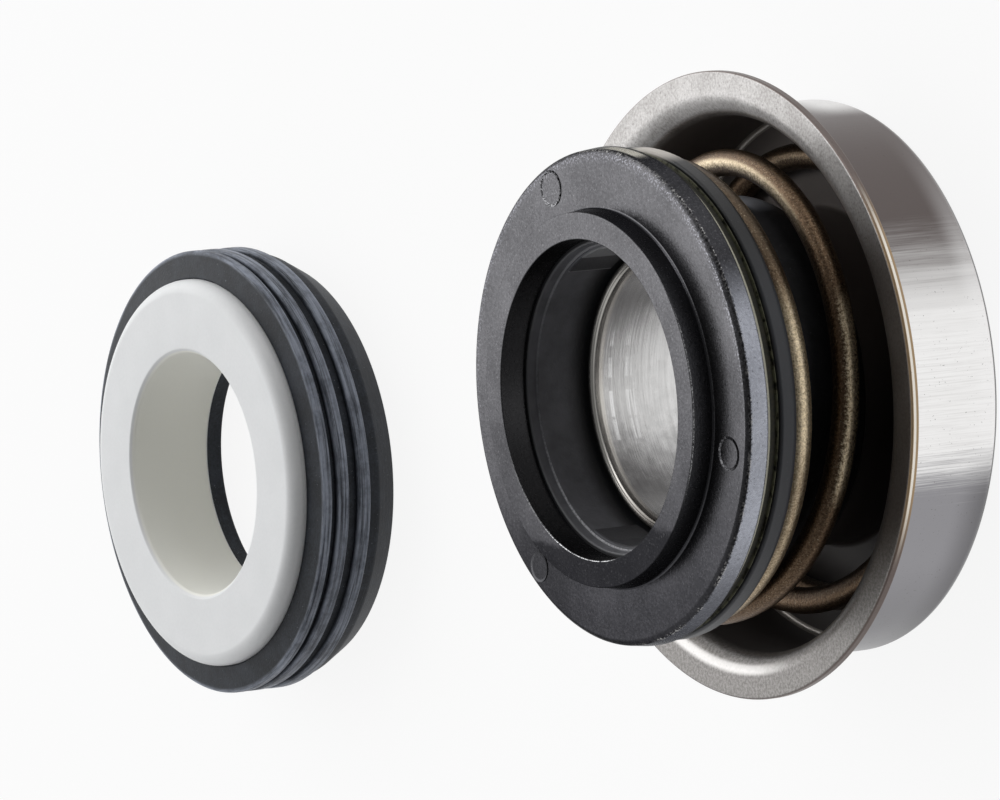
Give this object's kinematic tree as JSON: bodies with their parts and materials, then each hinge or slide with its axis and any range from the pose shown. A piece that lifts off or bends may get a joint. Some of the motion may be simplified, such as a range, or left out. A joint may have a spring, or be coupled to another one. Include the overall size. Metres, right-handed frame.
{
  "type": "mechanical shaft seal",
  "caption": "Mechanical shaft seal in its two halves: a sprung head in a flanged steel cup with a lapped carbon nose, and a ceramic seat in a ribbed rubber cup.",
  "frame": {"origin": "on the head's axis, in the plane of the back of its cup, where the shaft leaves the sleeve", "axes": "+Z along the head's axis towards its lapped nose face; +Y from the head towards the seat that lies beside it; +X completes the right-handed set"},
  "size_m": [0.0412, 0.1088, 0.0198],
  "materials": {
    "drawn_steel": "drawn stainless sheet, satin, with fine draw marks along the wall",
    "sleeve_steel": "bright stainless tube with fine turned rings",
    "bellows_rubber": "smooth black moulded rubber",
    "spring_bronze": "dull bronze wire with a gold sheen",
    "washer_brass": "dull olive brass washer",
    "carbon_phenolic": "dark grey moulded carbon resin, fine speckle, lapped nose",
    "seat_ceramic": "white alumina, ground and lapped",
    "seat_rubber": "blue-grey moulded rubber, scuffed on the ribs"
  },
  "bodies": {
    "housing": {"housing_cup": "drawn_steel", "clamp_sleeve": "sleeve_steel", "bellows": "bellows_rubber", "coil_spring": "spring_bronze", "seat_ring": "seat_ceramic", "seat_cup": "seat_rubber"},
    "seal_face": {"seal_ring": "carbon_phenolic", "support_ring": "washer_brass"}
  },
  "joints": [
    {"name": "face_travel", "type": "slide", "parent": "housing", "child": "seal_face", "axis": [0, 0, -1], "range_m": [0, 0.0045], "stiffness_N_per_m": 1000, "springref_m": -0.0005, "deforming": ["coil_spring", "bellows"]}
  ]
}
